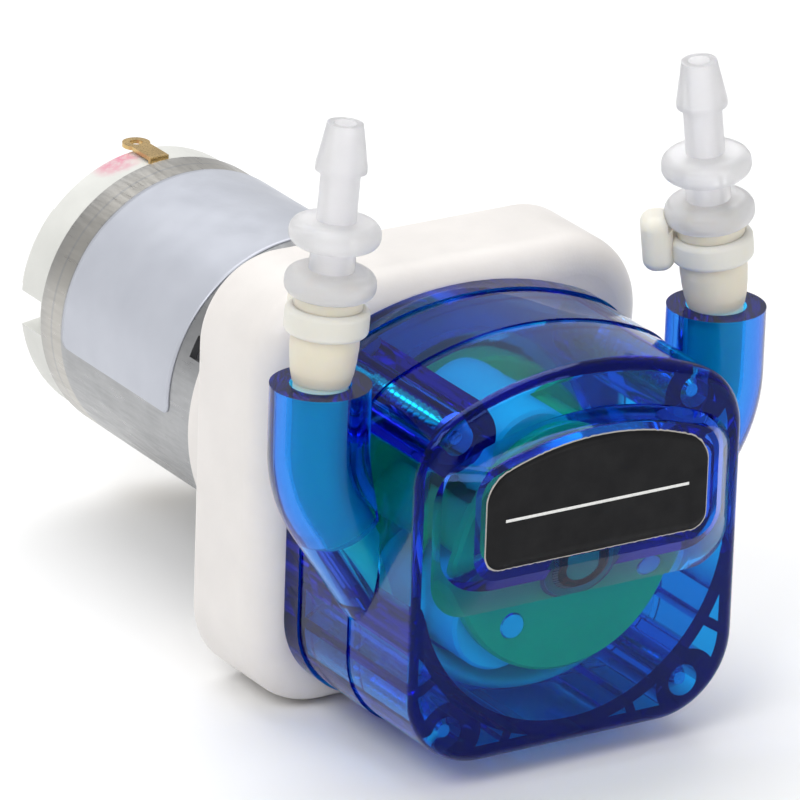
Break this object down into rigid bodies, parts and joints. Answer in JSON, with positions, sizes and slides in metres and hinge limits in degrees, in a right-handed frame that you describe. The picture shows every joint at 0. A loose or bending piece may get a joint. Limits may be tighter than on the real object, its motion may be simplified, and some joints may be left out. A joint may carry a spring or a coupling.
{
  "type": "peristaltic pump",
  "caption": "Panel-mount peristaltic pump: brushed motor, square flange, clear blue roller head and two barbed hose connectors on top.",
  "frame": {"origin": "centre of the flange's rear face, on the drive axis", "axes": "+Y along the motor shaft towards the motor, +Z towards the hose ports, +X to the right seen from the pump head"},
  "size_m": [0.066, 0.1048, 0.0791],
  "materials": {
    "flange_plastic": "warm white moulded plastic, satin gloss",
    "can_steel": "drawn and plated steel, satin",
    "bell_plastic": "off-white moulded plastic",
    "bronze": "sintered bronze",
    "brass": "stamped brass, tinned ends",
    "spring_steel": "spring strip",
    "carbon": "graphite brush",
    "ferrite": "sintered ferrite",
    "sticker": "pale silver film, blank",
    "zinc": "zinc plated screw",
    "shaft_steel": "ground steel",
    "laminations": "stacked electrical steel",
    "copper": "enamelled copper wire",
    "commutator": "copper segments",
    "spacer": "moulded spacer",
    "sleeve": "hard rubber sleeve on the shaft",
    "rotor_green": "green moulded plastic",
    "roller_white": "white acetal",
    "pin_steel": "polished steel pin",
    "clear_blue": "clear blue moulded plastic, polished",
    "label_black": "black film label with one plain white line",
    "tube": "cream elastomer tube",
    "connector": "translucent white polypropylene",
    "nylon": "natural nylon tie"
  },
  "bodies": {
    "pump_body": {"mount_flange": "flange_plastic", "motor_can": "can_steel", "front_bearing": "bronze", "motor_end_bell": "bell_plastic", "rear_bush": "bronze", "motor_terminals": "brass", "brush_arms": "spring_steel", "carbon_brushes": "carbon", "magnets": "ferrite", "magnet_clips": "spring_steel", "motor_sticker": "sticker", "motor_screws": "zinc", "head_base": "clear_blue", "head_cover": "clear_blue", "cover_bush": "bronze", "cover_label": "label_black", "head_screws": "zinc", "pump_tube": "tube", "connector_left": "connector", "connector_right": "connector", "tube_tie_left": "nylon", "tube_tie_right": "nylon"},
    "armature": {"motor_shaft": "shaft_steel", "armature_core": "laminations", "armature_windings": "copper", "commutator": "commutator", "shaft_spacer": "spacer", "drive_sleeve": "sleeve"},
    "rotor": {"rotor_rear_disc": "rotor_green", "rotor_rear_bush": "bronze", "rotor_front_disc": "rotor_green", "roller_pin_1": "pin_steel", "roller_pin_2": "pin_steel", "roller_pin_3": "pin_steel"},
    "roller_1_body": {"roller_1": "roller_white"},
    "roller_2_body": {"roller_2": "roller_white"},
    "roller_3_body": {"roller_3": "roller_white"}
  },
  "joints": [
    {"name": "motor_spin", "type": "hinge", "parent": "pump_body", "child": "armature", "pos_m": [0, 0, 0], "axis": [0, 1, 0], "continuous": true},
    {"name": "rotor_spin", "type": "hinge", "parent": "pump_body", "child": "rotor", "pos_m": [0, -0.0283, 0], "axis": [0, 1, 0], "continuous": true},
    {"name": "roller_1_spin", "type": "hinge", "parent": "rotor", "child": "roller_1_body", "pos_m": [-0.00732, -0.02875, -0.00821], "axis": [0, 1, 0], "continuous": true},
    {"name": "roller_2_spin", "type": "hinge", "parent": "rotor", "child": "roller_2_body", "pos_m": [0.01077, -0.02875, -0.00223], "axis": [0, 1, 0], "continuous": true},
    {"name": "roller_3_spin", "type": "hinge", "parent": "rotor", "child": "roller_3_body", "pos_m": [-0.00345, -0.02875, 0.01044], "axis": [0, 1, 0], "continuous": true}
  ],
  "couplings": [
    {"joint": "rotor_spin", "follows": "motor_spin", "ratio": 0.20455},
    {"joint": "roller_1_spin", "follows": "motor_spin", "ratio": -0.5507},
    {"joint": "roller_2_spin", "follows": "motor_spin", "ratio": -0.5507},
    {"joint": "roller_3_spin", "follows": "motor_spin", "ratio": -0.5507}
  ]
}
